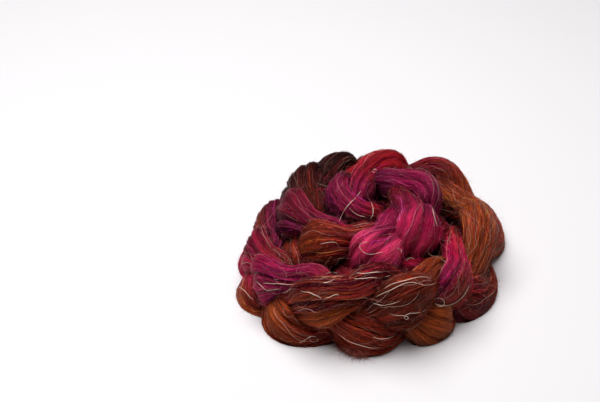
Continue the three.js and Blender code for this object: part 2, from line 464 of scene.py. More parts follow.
def sample_path():
    """The path as closely spaced samples, with the length and the plait turns run so far."""
    azimuth = np.linspace(PATH[0][0], PATH[-1][0], PATH_SAMPLES + 1)
    radius, height, tilt, girth, pitch = [smooth_column(name, azimuth) for name in PATH_COLUMNS[1:]]
    angle = np.radians(azimuth)
    point = np.stack([radius * np.cos(angle), radius * np.sin(angle), height], axis=1)
    stride = np.linalg.norm(np.diff(point, axis=0), axis=1)
    along = unit(np.gradient(point, axis=0))
    outward = unit(np.cross(along, UP))
    upward = np.cross(outward, along)
    lean = np.sin(np.radians(tilt))[:, None]
    stand = np.cos(np.radians(tilt))[:, None]
    length = np.concatenate([[0.0], np.cumsum(stride)])
    from_end = np.clip(np.minimum(length, length[-1] - length) / END_ROUNDING, END_SHARE, 1)
    return {
        "azimuth": azimuth,
        "point": point - OUTLINE_CENTRE,
        "length": length,
        "turns": np.concatenate([[0.0], np.cumsum(stride / pitch[1:])]),
        "girth": girth[:, None],
        "rounding": np.sqrt(1 - (1 - from_end) ** 2)[:, None],
        "face": outward * stand + upward * lean,
        "edge": upward * stand - outward * lean,
    }


def strand_run(plait, strand):
    """Centre line, section axes and half sizes of one strand at every sample of the path."""
    turns_at_phase = np.interp(PHASE_AZIMUTH, plait["azimuth"], plait["turns"])
    turns = plait["turns"] - turns_at_phase + strand / STRANDS
    phase = (FULL_TURN * turns + math.radians(PHASE_DEGREES))[:, None]
    face, edge, girth = plait["face"], plait["edge"], plait["girth"]
    swing = HALF_SPAN * girth * np.sin(phase) * edge
    centre = plait["point"] + swing + HALF_DEPTH * girth * np.sin(2 * phase) * face
    course = np.gradient(centre, axis=0)
    along = unit(course - SLOPE_HELD * dot(course, face) * face)
    thin = unit(face - dot(face, along) * along)
    full = np.ones_like(phase)
    for gain, wavelength, shift in FULLNESS_WAVES:
        full += gain * np.sin(FULL_TURN * plait["length"][:, None] / wavelength + shift * strand)
    size = girth * full * plait["rounding"]
    on_face = np.abs(np.sin(2 * phase)) ** SWELL_SHARPNESS
    at_edge = np.sin(phase) ** 2
    return {
        **plait,
        "strand": strand,
        "centre": centre,
        "along": along,
        "wide": np.cross(along, thin),
        "thin": thin,
        "half_width": size * (HALF_WIDTH + WIDTH_SWELL * on_face - EDGE_DRAW_IN * at_edge ** 2),
        "half_thickness": size * (HALF_THICKNESS + EDGE_THICKENING * at_edge),
    }


def middle_run(plait):
    """The pressed middle of the plait, which fills it where the strands part."""
    along = np.cross(plait["edge"], plait["face"])
    size = plait["girth"] * plait["rounding"]
    return {
        **plait,
        "strand": STRANDS,
        "centre": plait["point"],
        "along": along,
        "wide": np.cross(along, plait["face"]),
        "thin": plait["face"],
        "half_width": size * MIDDLE_HALF_WIDTH,
        "half_thickness": size * MIDDLE_HALF_THICKNESS,
    }


def values_at(run, name, length):
    """One value of a run at any lengths along the plait."""
    return blended(length, run["length"], run[name].reshape(len(run["length"]), -1))


# Locks of fibre

def lock_waves(rng, counts, reach):
    """Random waves that run round and along a strand."""
    return {
        "count": rng.integers(counts[0], counts[1] + 1, WAVES_IN_LOCKS),
        "rate": FULL_TURN / between(rng, reach, WAVES_IN_LOCKS) * rng.choice([-1, 1], WAVES_IN_LOCKS),
        "shift": between(rng, (0, FULL_TURN), WAVES_IN_LOCKS),
    }


def wave_height(waves, length, angle):
    total = np.zeros(np.broadcast(length, angle).shape)
    for count, rate, shift in zip(waves["count"], waves["rate"], waves["shift"]):
        total += np.cos(count * angle + rate * length + shift)
    return total * math.sqrt(2 / WAVES_IN_LOCKS)


def strand_locks(rng):
    return [lock_waves(rng, locks[0], locks[1]) for locks in (BROAD_LOCKS, MIDDLE_LOCKS, FINE_LOCKS)]


def relief(locks, length, angle):
    """Height of the locks over the plain section of a strand, at most 0 but for the fine ripple."""
    height = FINE_LOCKS[2] * wave_height(locks[2], length, angle)
    for waves, (_, _, depth, width) in zip(locks, (BROAD_LOCKS, MIDDLE_LOCKS)):
        height -= depth * np.exp(-((wave_height(waves, length, angle) / width) ** 2))
    return height


def surface(run, length, angle, lift):
    """Points and outward normals on a strand, at lengths along it and angles round it."""
    wide = values_at(run, "wide", length)
    thin = values_at(run, "thin", length)
    half_width = values_at(run, "half_width", length)
    half_thickness = values_at(run, "half_thickness", length)
    across = signed_power(np.cos(angle)[..., None], 2 / SQUARENESS)
    deep = signed_power(np.sin(angle)[..., None], 2 / SQUARENESS)
    lean_wide = signed_power(across, SQUARENESS - 1)
    lean_thin = signed_power(deep, SQUARENESS - 1)
    normal = unit(wide * lean_wide / half_width + thin * lean_thin / half_thickness)
    height = relief(run["locks"], length, angle)[..., None] * values_at(run, "rounding", length)
    plain = values_at(run, "centre", length) + wide * half_width * across + thin * half_thickness * deep
    point = plain + normal * (height + lift[..., None])
    point[..., 2] = np.maximum(point[..., 2], FLOOR_CLEARANCE)
    return point, normal


# Meshes

def add_object(name, data):
    added = bpy.data.objects.new(name, data)
    bpy.context.scene.collection.objects.link(added)
    return added


def tube_faces(tubes, rings, sides):
    """Faces of closed tubes and, corner by corner, where each lies along and round its tube."""
    tube, ring, side = np.indices((tubes, rings - 1, sides))
    corners = [(ring, side), (ring + 1, side), (ring + 1, side + 1), (ring, side + 1)]
    along, round_it = [np.stack(values, axis=-1) for values in zip(*corners)]
    quads = (tube[..., None] * rings + along) * sides + round_it % sides
    first = np.arange(tubes)[:, None] * rings * sides
    heads = first + np.arange(sides)
    tails = first + (rings - 1) * sides + np.arange(sides)[::-1]
    caps = np.stack([heads, tails], axis=1)
    faces = quads.reshape(-1, 4).tolist() + caps.reshape(-1, sides).tolist()
    owner = np.concatenate([np.repeat(tube.ravel(), 4), np.repeat(np.arange(tubes), 2 * sides)])
    cap_along = np.tile(np.repeat([0.0, 1.0], sides), tubes)
    cap_round = np.tile(np.arange(sides) / sides, 2 * tubes)
    along = np.concatenate([along.ravel() / (rings - 1), cap_along])
    round_it = np.concatenate([round_it.ravel() / sides, cap_round])
    return faces, owner, along, round_it


def tube_object(name, points, dye, grain):
    """Closed tubes as one object. points is tubes by rings by sides by 3, in millimetres, with a colour,
    kept as the dye attribute, and a grain coordinate for each point; for strands and fibres that colour
    holds painted shade as well as dye. Each tube has its own cell of the map."""
    tubes, rings, sides, _ = points.shape
    faces, owner, along, round_it = tube_faces(tubes, rings, sides)
    mesh = bpy.data.meshes.new(name)
    mesh.from_pydata((points.reshape(-1, 3) * MM).tolist(), [], faces)
    mesh.shade_smooth()
    columns = math.ceil(math.sqrt(tubes))
    filled = 1 - 2 * MAP_MARGIN
    u = (owner % columns + MAP_MARGIN + filled * along) / columns
    v = (owner // columns + MAP_MARGIN + filled * round_it) / columns
    layer = mesh.uv_layers.new(name="OFBake")
    layer.data.foreach_set("uv", np.stack([u, v], axis=-1).astype(np.float32).ravel())
    colour = np.concatenate([dye.reshape(-1, 3), np.ones((tubes * rings * sides, 1))], axis=1)
    attribute = mesh.attributes.new("dye", "FLOAT_COLOR", "POINT")
    attribute.data.foreach_set("color", colour.astype(np.float32).ravel())
    attribute = mesh.attributes.new("grain", "FLOAT_VECTOR", "POINT")
    attribute.data.foreach_set("vector", grain.reshape(-1, 3).astype(np.float32).ravel())
    return add_object(name, mesh)


def thin_tubes(paths, normals, radius):
    """Rings of points round many thin paths at once: tubes by rings by sides by 3."""
    course = unit(np.gradient(paths, axis=1))
    across = unit(np.cross(course, normals))
    out = np.cross(across, course)
    angle = FULL_TURN * np.arange(FIBRE_SIDES) / FIBRE_SIDES
    ring = np.cos(angle)[:, None] * across[:, :, None] + np.sin(angle)[:, None] * out[:, :, None]
    points = paths[:, :, None] + ring * radius[:, :, None, None]
    points[..., 2] = np.maximum(points[..., 2], FLOOR_CLEARANCE)
    return points


def hair_object(name, points, colour):
    """Hairs as one object, with a colour for each point of their paths or for each hair."""
    return tube_object(name, points, np.broadcast_to(colour[:, :, None], points.shape), points)


# Dye, with the tone of locks and the painted shade of streaks

def linear(red, green, blue):
    """A colour given in 0 to 255 screen values, as linear light."""
    share = np.array([red, green, blue]) / 255
    return np.where(share <= 0.04045, share / 12.92, ((share + 0.055) / 1.055) ** 2.4)


DYES = {
    "rose": linear(255, 66, 122),
    "pink": linear(248, 34, 96),
    "magenta": linear(198, 18, 76),
    "plum": linear(156, 24, 76),
    "wine": linear(130, 18, 48),
    "purple": linear(122, 20, 70),
    "crimson": linear(168, 22, 34),
    "maroon": linear(104, 26, 30),
    "garnet": linear(104, 6, 26),
    "rust": linear(148, 47, 27),
    "orange": linear(180, 82, 34),
    "brown": linear(84, 32, 16),
    "umber": linear(54, 11, 10),
}
PALE_FIBRE = linear(214, 168, 160)
LINEN = linear(240, 194, 176)
BRIGHT_LINEN = linear(255, 222, 204)

# Dye along each strand and the plait's middle: at an azimuth along the coil, the colours of the side
# that looks up and of the side that looks down.
DYE_CHART = [
    {
        105: "brown maroon", 160: "maroon brown", 190: "purple magenta", 212: "magenta magenta",
        222: "plum purple", 236: "plum purple", 246: "crimson rust", 258: "rust rust", 272: "rust rust",
        288: "crimson orange", 304: "purple rust", 318: "plum rust", 329: "magenta magenta",
        340: "crimson rust", 360: "rust rust", 384: "rust orange", 420: "rust brown",
        466: "crimson brown", 510: "umber maroon", 535: "wine brown", 551: "wine purple",
        572: "plum purple", 610: "crimson rust", 660: "magenta crimson", 670: "rose rose",
        682: "rose rose", 692: "magenta rose", 702: "plum rose", 710: "plum magenta",
        720: "maroon magenta", 760: "crimson rust", 820: "rust crimson", 865: "purple magenta",
        880: "plum purple", 905: "plum purple", 922: "crimson maroon", 980: "crimson rust",
    },
    {
        105: "maroon brown", 155: "crimson brown", 178: "plum maroon", 192: "wine magenta",
        201: "wine magenta", 212: "rust brown", 226: "orange rust", 238: "rust rust",
        256: "crimson rust", 270: "brown rust", 280: "brown rust", 290: "rust brown", 298: "rust rust",
        310: "orange brown", 320: "rust wine", 332: "maroon wine", 346: "rust rust", 370: "rust orange",
        396: "orange rust", 408: "rust rust", 420: "wine rust", 434: "maroon brown",
        470: "brown maroon", 508: "umber umber", 560: "rust maroon", 605: "crimson magenta",
        632: "rose pink", 640: "rose rose", 648: "plum rose", 664: "plum crimson",
        675: "magenta crimson", 740: "crimson rust", 790: "crimson magenta", 824: "crimson crimson",
        834: "plum wine", 850: "plum wine", 980: "purple maroon",
    },
    {
        105: "rust brown", 150: "maroon brown", 185: "purple rust", 199: "magenta magenta",
        204: "crimson rust", 208: "rust orange", 214: "rust orange", 232: "rust rust",
        247: "garnet orange", 256: "garnet orange", 265: "garnet rust", 273: "garnet maroon",
        288: "rust orange", 298: "orange orange", 312: "orange orange", 326: "rust maroon",
        342: "orange rust", 356: "rust orange", 372: "orange rust", 400: "maroon rust",
        440: "brown maroon", 485: "umber umber", 540: "maroon rust", 575: "rust orange",
        592: "rust rust", 606: "maroon crimson", 640: "crimson magenta", 700: "magenta crimson",
        745: "plum purple", 765: "plum magenta", 785: "purple magenta", 820: "magenta rust",
        880: "crimson purple", 980: "magenta maroon",
    },
    {
        105: "brown brown", 230: "rust rust", 340: "rust rust", 420: "brown brown", 520: "brown brown",
        620: "crimson maroon", 980: "purple maroon",
    },
]


def dye_at(run, length, angle):
    """Dye colour of a strand, blended along it and from its upper to its lower side."""
    chart = DYE_CHART[run["strand"]]
    azimuth = np.interp(length, run["length"], run["azimuth"])
    sides = zip(*[pair.split() for pair in chart.values()])
    upper, lower = [blended(azimuth, list(chart), [DYES[name] for name in side]) for side in sides]
    lock = np.tanh(LOCK_CONTRAST * wave_height(run["locks"][0], length, angle))
    share = ease(0.5 + SIDE_CONTRAST * (np.cos(angle) + LOCK_MIX * lock))[..., None]
    return upper * (1 - share) + lower * share


def lock_shade(run, length, angle):
    """How light the locks and finer streaks of a strand are, about 1: the locks differ in tone, and the
    streaks are painted shade, lighter on the crests of the fine ripple and darker in its troughs.
    """
    lock = np.tanh(LOCK_CONTRAST * wave_height(run["locks"][1], length, angle))
    streak = np.tanh(STREAK_CONTRAST * wave_height(run["locks"][2], length, angle))
    return np.exp(LOCK_SHADE * lock + STREAK_SHADE * streak)[..., None]


def grain_at(run, length, angle):
    """Coordinates for patterns drawn out along a strand, the same on both sides of its seam."""
    across = GRAIN_ROOM * run["strand"] + GRAIN_RADIUS * np.cos(angle)
    return np.stack([length, across, GRAIN_RADIUS * np.sin(angle)], axis=-1)


# Strands

def strand_grid(run, step, sides):
    steps = round(run["length"][-1] / step)
    length = np.linspace(0, run["length"][-1], steps + 1)
    angle = FULL_TURN * np.arange(sides) / sides
    return np.meshgrid(length, angle, indexing="ij")


def make_strand(run):
    length, angle = strand_grid(run, STRAND_STEP, STRAND_SIDES)
    points, _ = surface(run, length, angle, np.zeros_like(length))
    dye = dye_at(run, length, angle)
    # Painted shade: the strand is darkened as the shaded gaps under its fibres, less where its dye is
    # bright as painted light let through, and lock_shade adds the streaks' painted shade.
    shade = STRAND_SHADE + STRAND_GLOW * dye.max(axis=-1, keepdims=True)
    dye = shade * lock_shade(run, length, angle) * dye
    return tube_object(f"strand_{run['strand']}", points[None], dye, grain_at(run, length, angle))


# Where the strands lie open to view, and the painted shade of their hollows

def strand_tree(strands):
    points = []
    faces = []
    for strand in strands:
        first = len(points)
        points.extend(vertex.co.copy() for vertex in strand.data.vertices)
        faces.extend([first + index for index in face.vertices] for face in strand.data.polygons)
    return BVHTree.FromPolygons(points, faces)


def ray_fan(normal):
    """Directions round a normal, the normal first."""
    side = normal.orthogonal().normalized()
    other = normal.cross(side)
    fan = [normal]
    for ray in range(OPEN_RAYS):
        turn = FULL_TURN * ray / OPEN_RAYS
        fan.append((normal + OPEN_SPREAD * (math.cos(turn) * side + math.sin(turn) * other)).normalized())
    return fan


def openness(run, tree):
    """Share of rays that leave a strand's surface freely, on a grid along and round it."""
    length, angle = strand_grid(run, OPEN_STEP, OPEN_SIDES)
    points, normals = surface(run, length, angle, np.full(length.shape, OPEN_START))
    share = np.zeros(length.shape)
    for i, j in np.ndindex(length.shape):
        start = Vector(points[i, j] * MM)
        fan = ray_fan(Vector(normals[i, j]))
        free = 0
        for ray in fan:
            blocked = tree.ray_cast(start, ray, OPEN_REACH * MM)[0] is not None
            grounded = start.z + ray.z * OPEN_REACH * MM < 0
            free += not (blocked or grounded)
        share[i, j] = free / len(fan)
    return share


def open_at(run, length, angle):
    """The openness at any places of a strand, blended between those of the grid."""
    share = run["openness"]
    row = np.clip(length / run["length"][-1], 0, 1) * (share.shape[0] - 1)
    column = angle / FULL_TURN * OPEN_SIDES
    behind = np.minimum(np.floor(row), share.shape[0] - 2).astype(int)
    left = np.floor(column).astype(int)
    forward = row - behind
    aside = column - left
    left, right = left % OPEN_SIDES, (left + 1) % OPEN_SIDES
    near = share[behind, left] * (1 - aside) + share[behind, right] * aside
    far = share[behind + 1, left] * (1 - aside) + share[behind + 1, right] * aside
    return near * (1 - forward) + far * forward


def hollow_shade(run, length, angle):
    """Painted shade for a strand's colours where it lies closed in: 1 in the open and less in the
    hollows and low down by the floor.
    """
    lit = ease(open_at(run, length, angle) / HOLLOW_REACH)
    return (HOLLOW_SHADE + (1 - HOLLOW_SHADE) * lit)[..., None]


# Paints the hollows' shade into a strand's dye attribute, darkening it where the strand lies closed in.
def shade_hollows(strand, run):
    length, angle = strand_grid(run, STRAND_STEP, STRAND_SIDES)
    attribute = strand.data.attributes["dye"]
    colour = np.zeros((length.size, 4), np.float32)
    attribute.data.foreach_get("color", colour.ravel())
    colour[:, :3] *= hollow_shade(run, length, angle).reshape(-1, 1)
    attribute.data.foreach_set("color", colour.ravel())


# Fibres

def varied(colour, rng):
    """Dye colours of many fibres with each fibre's own shade and tint, some of them paler. The spread
    of shades stands in partly for painted glints, and the pale fibres, tinted by their dye, partly for
    painted sheen.
    """
    count = len(colour)
    shade = np.exp(rng.normal(0, SHADE_SPREAD, (count, 1, 1)))
    tint = np.exp(rng.normal(0, 1, (count, 1, 3)) * TINT_SPREAD)
    pale = between(rng, PALE_MIX, (count, 1, 1)) * (rng.random((count, 1, 1)) < PALE_SHARE)
    full = colour / np.maximum(colour.max(axis=-1, keepdims=True), TINY)
    pale_colour = PALE_TINT * full + (1 - PALE_TINT) * PALE_FIBRE
    return np.clip(colour * shade * tint * (1 - pale) + pale_colour * pale, 0, 1)


def looseness(run, length):
    """1 well inside the loose stretches of the plait and 0 outside them."""
    azimuth = np.interp(length, run["length"], run["azimuth"])
    inside = [np.minimum(azimuth - first, last - azimuth) for first, last in LOOSE_STRETCHES]
    return ease(np.max(inside, axis=0) / LOOSE_FADE)


def taper(place, sharpness):
    """Share of its full radius that a fibre has, from -1 at one end to 1 at the other."""
    return FIBRE_TIP + (1 - FIBRE_TIP) * (1 - place ** sharpness)


def make_fibres(run, rng):
    drawn = FIBRES_PER_STRAND * FIBRE_TRIES
    start = between(rng, (0, run["length"][-1]), drawn)
    round_it = between(rng, (0, FULL_TURN), drawn)
    seen = open_at(run, start, round_it) > between(rng, FIBRE_OPENNESS, drawn)
    start = start[seen][:FIBRES_PER_STRAND, None]
    round_it = round_it[seen][:FIBRES_PER_STRAND, None]
    count = len(start)
    place = np.linspace(-1, 1, FIBRE_POINTS)[None]
    half = between(rng, FIBRE_HALF_LENGTH, (count, 1))
    length = np.clip(start + half * place, 0, run["length"][-1])
    slant = FIBRE_SLANT * wave_height(run["locks"][0], start, round_it)
    slant = (slant + rng.normal(0, FIBRE_OWN_SLANT, (count, 1))) * half / FIBRE_HALF_LENGTH[1]
    loose = looseness(run, start)
    waves = between(rng, FIBRE_WAVES, (count, 1)) * (1 + (LOOSE_WAVES - 1) * loose)
    swing = FIBRE_WAVE[0] + (FIBRE_WAVE[1] - FIBRE_WAVE[0]) * loose
    turn = place * waves + rng.random((count, 1))
    angle = round_it + slant * place + swing * np.sin(FULL_TURN * turn)
    rise = FIBRE_LIFT * rng.random((count, 1)) ** 2
    lift = rise * (1 - place ** 2) - FIBRE_TUCK * place ** TUCK_SHARPNESS + FIBRE_FLOAT
    paths, normals = surface(run, length, angle, lift)
    thickness = mostly_thin(rng, FIBRE_RADIUS, FIBRE_THINNESS, count)
    points = thin_tubes(paths, normals, thickness * taper(place, TIP_SHARPNESS))
    strayed_length = length + rng.normal(0, DYE_STRAY_ALONG, (count, 1))
    strayed_angle = angle + rng.normal(0, DYE_STRAY_ROUND, (count, 1))
    # Painted shade of the streaks and the hollows, taken where the fibre lies; its dye is taken from a
    # strayed place.
    shade = lock_shade(run, length, angle) * hollow_shade(run, length, angle)
    colour = shade * dye_at(run, strayed_length, strayed_angle)
    dye = np.broadcast_to(varied(colour, rng)[:, :, None], points.shape)
    grain = np.broadcast_to(grain_at(run, length, angle)[:, :, None], points.shape)
    return tube_object(f"fibres_{run['strand']}", points, dye, grain)


# Linen hairs and fuzz

def on_own_strand(work, runs, strand):
    """What a function of a strand gives for many places, taken for each from the strand it lies on."""
    return np.array([work(run) for run in runs])[strand, np.arange(len(strand))]


def open_places(runs, count, rng, least):
    """Strand, length and angle of random places that lie open to view."""
    drawn = count * HAIR_TRIES
    strand = rng.integers(0, STRANDS, drawn)
    length = between(rng, (0, runs[0]["length"][-1]), drawn)
    angle = between(rng, (0, FULL_TURN), drawn)
    seen = on_own_strand(lambda run: open_at(run, length, angle), runs, strand)
    chosen = np.flatnonzero(seen >= least)[:count]
    return strand[chosen], length[chosen], angle[chosen]


def lying_hairs(runs, rng):
    """Hairs that follow the fibres of a strand, with a slow and a quick wander."""
    strand, start, round_it = open_places(runs, LYING_HAIRS, rng, HAIR_OPENNESS)
    count = len(strand)
    place = np.linspace(-1, 1, LINEN_POINTS)[None]
    half = between(rng, LYING_HALF_LENGTH, (count, 1))
    length = np.clip(start[:, None] + half * place, 0, runs[0]["length"][-1])
    reach = place * half / LYING_HALF_LENGTH[1]
    angle = round_it[:, None] + rng.normal(0, LYING_SLANT, (count, 1)) * reach
    for sway, waves in zip(LYING_WANDER, LYING_WAVES):
        turn = reach * between(rng, waves, (count, 1)) + rng.random((count, 1))
        angle = angle + sway * np.sin(FULL_TURN * turn)
    lift = LINEN_FLOAT + LYING_LIFT * rng.random((count, 1)) * (1 - place ** 2)
    paths = on_own_strand(lambda run: surface(run, length, angle, lift)[0], runs, strand)
    normals = on_own_strand(lambda run: surface(run, length, angle, lift)[1], runs, strand)
    return paths, normals


def turning(points, turn, rng):
    """How fast a stray turns at each of its points, in radians a millimetre: a slow and a quick
    wander, and for some a loop part of the way along."""
    place = np.linspace(0, 1, points)
    turns = np.zeros(points)
    for strength, waves in STRAY_TURNS:
        turns += strength * turn * np.cos(FULL_TURN * (place * rng.uniform(*waves) + rng.random()))
    if rng.random() < LOOP_SHARE:
        middle = rng.uniform(*LOOP_PLACE)
        loop = rng.choice([-1, 1]) / rng.uniform(*LOOP_RADIUS)
        turns = np.where(np.abs(place - middle) < rng.uniform(*LOOP_HALF_LENGTH), loop, turns)
    return turns


def wander(tree, start, normal, heading, step, turns, lifts):
    """Points and normals of a hair that runs over the strands from a place and a heading."""
    points = []
    normals = []
    place = start
    for turn, lift in zip(turns.tolist(), lifts.tolist()):
        above = place + normal * STRAY_PROBE * MM
        hit, hit_normal, _, _ = tree.ray_cast(above, -normal, 2 * STRAY_PROBE * MM)
        if hit is None:
            hit, hit_normal, _, _ = tree.find_nearest(place)
        place = hit
        normal = (normal + STRAY_LEAN * hit_normal).normalized()
        resting = place + normal * lift * MM
        resting.z = max(resting.z, 2 * FLOOR_CLEARANCE * MM)
        points.append(resting / MM)
        normals.append(normal)
        heading = (heading - heading.dot(normal) * normal).normalized()
        heading = (heading + turn * step * normal.cross(heading)).normalized()
        place = place + heading * step * MM
    return points, normals


def stray_paths(kind, tree, runs, rng):
    """Paths and normals of strays that leave their strand and run on over its neighbours, with the
    strand, length and angle at which each starts."""
    places = open_places(runs, kind["count"], rng, HAIR_OPENNESS)
    paths = []
    normals = []
    hump = np.sin(np.linspace(0, math.pi, kind["points"]))
    for strand, length, angle in zip(*places):
        run = runs[strand]
        point, normal = surface(run, np.array([length]), np.array([angle]), np.zeros(1))
        along = Vector(values_at(run, "along", length)) * float(rng.choice([-1, 1]))
        out = Vector(normal[0])
        heading = along + rng.normal(0, kind["slant"]) * out.cross(along)
        step = rng.uniform(*kind["length"]) / kind["points"]
        lifts = LINEN_FLOAT + kind["lift"] * rng.random() * hump
        turns = turning(kind["points"], kind["turn"], rng)
        path, path_normals = wander(tree, Vector(point[0] * MM), out, heading, step, turns, lifts)
        paths.append(path)
        normals.append(path_normals)
    return smoothed(np.array(paths), STRAY_SMOOTHING), np.array(normals), places


def make_wisps(tree, runs, rng):
    """Dyed fibres that stray across the strands and blur their edges."""
    paths, normals, (strand, length, angle) = stray_paths(WISPS, tree, runs, rng)
    # Painted shade of the hollows where each wisp starts, multiplied into its dye.
    shade = on_own_strand(lambda run: hollow_shade(run, length, angle), runs, strand)
    dye = shade * on_own_strand(lambda run: dye_at(run, length, angle), runs, strand)
    place = np.linspace(-1, 1, WISPS["points"])
    thickness = mostly_thin(rng, WISP_RADIUS, WISP_THINNESS, len(paths))
    points = thin_tubes(paths, normals, thickness * taper(place, TIP_SHARPNESS))
    colour = varied(np.broadcast_to(dye[:, None], paths.shape), rng)
    return hair_object("wisps", points, colour)


def pixel_ray(camera, pixel):
    """Direction in which the camera sees a pixel of the image."""
    sight = Vector((pixel[0] - IMAGE_SIZE[0] / 2, IMAGE_SIZE[1] / 2 - pixel[1], -LENS_PIXELS))
    return (camera.rotation_euler.to_matrix() @ sight).normalized()


def spaced(pixels, count):
    """Evenly spaced points along a smoothed line through a few pixels."""
    pixels = np.array(pixels, float)
    stride = np.concatenate([[0.0], np.cumsum(np.linalg.norm(np.diff(pixels, axis=0), axis=1))])
    wanted = np.linspace(0, stride[-1], count)
    return smoothed(blended(wanted, stride, pixels)[None], PLACED_SMOOTHING)[0]


def unbroken(hits):
    """First place and end of each part of a line of points that crosses no gap between strands."""
    strides = np.linalg.norm(np.diff(hits, axis=0), axis=1)
    breaks = (np.flatnonzero(strides > PLACED_GAP) + 1).tolist()
    return zip([0, *breaks], [*breaks, len(hits)])


def respaced(values, count):
    """Rows of values drawn out evenly to another number of rows."""
    return blended(np.linspace(0, len(values) - 1, count), np.arange(len(values)), values)


def placed_hairs(tree, camera):
    """Hairs that pass over given pixels of the image, laid on the strands there."""
    paths = []
    normals = []
    lift = LINEN_FLOAT + PLACED_LIFT * np.sin(np.linspace(0, math.pi, LINEN_POINTS))[:, None]
    for pixels in PLACED_HAIRS.values():
        rays = [pixel_ray(camera, pixel) for pixel in spaced(pixels, LINEN_POINTS)]
        casts = [tree.ray_cast(camera.location, ray)[:2] for ray in rays]
        hits = np.array([hit for hit, _ in casts if hit]) / MM
        hit_normals = np.array([normal for _, normal in casts if normal])
        for first, end in unbroken(hits):
            if end - first >= PLACED_LEAST:
                normal = unit(respaced(hit_normals[first:end], LINEN_POINTS))
                paths.append(respaced(hits[first:end], LINEN_POINTS) + lift * normal)
                normals.append(normal)
    return smoothed(np.array(paths), PLACED_SMOOTHING), np.array(normals)


def make_linen(tree, runs, camera, rng):
    lying, lying_normals = lying_hairs(runs, rng)
    stray, stray_normals, _ = stray_paths(STRAY_HAIRS, tree, runs, rng)
    placed, placed_normals = placed_hairs(tree, camera)
    paths = np.concatenate([lying, stray, placed])
    normals = np.concatenate([lying_normals, stray_normals, placed_normals])
    count = len(paths)
    thickness = mostly_thin(rng, LINEN_RADIUS, LINEN_THINNESS, count)
    thickness[-len(placed):] = PLACED_RADIUS
    place = np.linspace(-1, 1, LINEN_POINTS)
    points = thin_tubes(paths, normals, thickness * taper(place, LINEN_TIP_SHARPNESS))
    shade = np.exp(rng.normal(LINEN_SHADE, LINEN_SHADE_SPREAD, (count, 1, 1)))
    blush = rng.random((count, 1, 1)) ** 2 * LINEN_BLUSH
    blushed = LINEN_BLUSH_LIGHT * DYES["maroon"]
    dye = np.clip(shade * (LINEN * (1 - blush) + blushed * blush), 0, 1)
    dye[-len(placed):] = BRIGHT_LINEN
    return hair_object("linen_hairs", points, dye)


def make_fuzz(runs, rng):
    strand, length, angle = open_places(runs, FUZZ_HAIRS, rng, FUZZ_OPENNESS)
    count = len(strand)
    start = on_own_strand(lambda run: surface(run, length, angle, np.zeros(count))[0], runs, strand)
    normal = on_own_strand(lambda run: surface(run, length, angle, np.zeros(count))[1], runs, strand)
    along = on_own_strand(lambda run: values_at(run, "along", length), runs, strand)
    dye = on_own_strand(lambda run: dye_at(run, length, angle), runs, strand)
    along = along * rng.choice([-1, 1], (count, 1)) + rng.normal(0, FUZZ_STRAY, (count, 3))
    rise = between(rng, FUZZ_RISE, (count, 1))
    first = unit(along + rise * normal)
    bend = rng.normal(0, FUZZ_BEND, (count, 3)) - FUZZ_SAG * UP
    reach = between(rng, FUZZ_LENGTH, (count, 1))
    place = np.linspace(0, 1, FUZZ_POINTS)[None, :, None]
    course = first[:, None] * place + bend[:, None] * place ** 2 / 2
    paths = start[:, None] + reach[:, None] * course
    paths[..., 2] = np.maximum(paths[..., 2], 2 * FLOOR_CLEARANCE)
    radius = between(rng, FUZZ_RADIUS, (count, 1)) * (1 - FUZZ_THINNING * place[..., 0])
    points = thin_tubes(paths, np.broadcast_to(normal[:, None], paths.shape), radius)
    colour = varied(np.broadcast_to(dye[:, None], paths.shape), rng)
    colour = (1 - FUZZ_PALE) * colour + FUZZ_PALE * PALE_FIBRE
    return hair_object("fuzz", points, colour)


def make_fray(tree, camera, rng):
    """A tuft of frizzy ends that sticks out from under the front."""
    start = []
    outward = []
    for _ in range(FRAY_HAIRS):
        ray = pixel_ray(camera, rng.uniform(*FRAY_CORNERS))
        hit, normal, _, _ = tree.ray_cast(camera.location, ray)
        if hit is not None:
            start.append(hit / MM)
            outward.append(normal)
    count = len(start)
    heading = unit(np.array(outward) - UP + rng.normal(0, FRAY_SPREAD, (count, 3)))
    step = between(rng, FRAY_LENGTH, (count, 1)) / (FRAY_POINTS - 1)
    paths = [np.array(start)]
    for _ in range(FRAY_POINTS - 1):
        heading = unit(heading + rng.normal(0, FRAY_CURL, (count, 3)))
        paths.append(paths[-1] + heading * step)
    paths = smoothed(np.stack(paths, axis=1), FRAY_SMOOTHING)
    place = np.linspace(0, 1, FRAY_POINTS)[None]
    radius = between(rng, FRAY_RADIUS, (count, 1)) * (1 - FRAY_THINNING * place)
    points = thin_tubes(paths, np.broadcast_to(UP, paths.shape), radius)
    colour = varied(np.broadcast_to(DYES["rust"], paths.shape), rng)
    colour = (1 - FRAY_PALE) * colour + FRAY_PALE * PALE_FIBRE
    return hair_object("fray", points, colour)


# Materials

def fill(node, values):
    """Gives inputs of a node their values, by name."""
    for name, value in values.items():
        node.inputs[name].default_value = value


def new_material(name, values):
    """A material and its shader, which has the given values."""
    material = bpy.data.materials.new(name)
    material.use_nodes = True
    shader = material.node_tree.nodes["Principled BSDF"]
    fill(shader, values)
    return material, shader


def add_node(material, kind, inputs, **settings):
    node = material.node_tree.nodes.new(kind)
    for name, value in settings.items():
        setattr(node, name, value)
    fill(node, inputs)
    return node


def grain_noise(material, stretch, scale, detail):
    """Noise drawn out along the fibres."""
    links = material.node_tree.links
    grain = add_node(material, "ShaderNodeAttribute", {}, attribute_name="grain")
    mapping = add_node(material, "ShaderNodeMapping", {"Scale": (1 / stretch, 1, 1)})
    noise = add_node(material, "ShaderNodeTexNoise", {"Scale": scale, "Detail": detail})
    links.new(grain.outputs["Vector"], mapping.inputs["Vector"])
    links.new(mapping.outputs["Vector"], noise.inputs["Vector"])
    return noise.outputs["Fac"]


